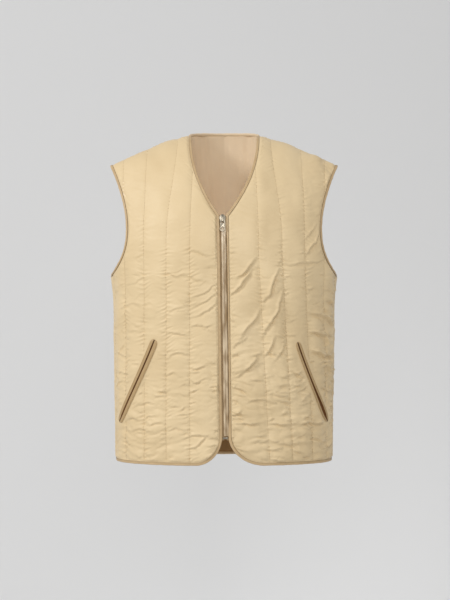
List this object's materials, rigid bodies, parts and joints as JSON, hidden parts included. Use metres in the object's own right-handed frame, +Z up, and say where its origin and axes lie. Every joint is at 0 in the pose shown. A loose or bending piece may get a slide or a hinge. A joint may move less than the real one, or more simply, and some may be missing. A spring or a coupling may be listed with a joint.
{
  "type": "quilted vest",
  "caption": "Sleeveless V-neck quilted vest with a front zip and slanted bound pockets, filled out hollow as if worn.",
  "frame": {"origin": "midway between the two neck points, level with them, where the wearer's shoulders hold the vest", "axes": "+X to the wearer's left, -Y out of the front, +Z up"},
  "size_m": [0.4898, 0.2651, 0.7084],
  "materials": {
    "quilted_cloth": "soft matt nylon, lightly wadded and quilted in vertical lines",
    "binding": "satin woven binding, a little darker than the cloth",
    "zip_tape": "woven herringbone polyester tape",
    "zip_coil": "dyed polyester coil with a shiny film",
    "zip_metal": "die-cast zinc, pale nickel plate"
  },
  "bodies": {
    "vest": {"front_left": "quilted_cloth", "front_right": "quilted_cloth", "back": "quilted_cloth", "binding_front_left": "binding", "binding_front_right": "binding", "binding_armhole_left": "binding", "binding_armhole_right": "binding", "binding_hem_back": "binding", "binding_neck_back": "binding", "pocket_lip_outer_left": "binding", "pocket_lip_inner_left": "binding", "pocket_lip_outer_right": "binding", "pocket_lip_inner_right": "binding", "zip_tape_left": "zip_tape", "zip_tape_right": "zip_tape", "zip_chain": "zip_coil", "zip_box": "zip_metal", "zip_slider": "zip_metal"},
    "pull_tab": {"zip_pull_tab": "zip_metal"}
  },
  "joints": [
    {"name": "pull_tab_hinge", "type": "hinge", "parent": "vest", "child": "pull_tab", "pos_m": [-0.00294, -0.12763, -0.18538], "axis": [-1, 0, 0], "range_deg": [0, 130]}
  ]
}
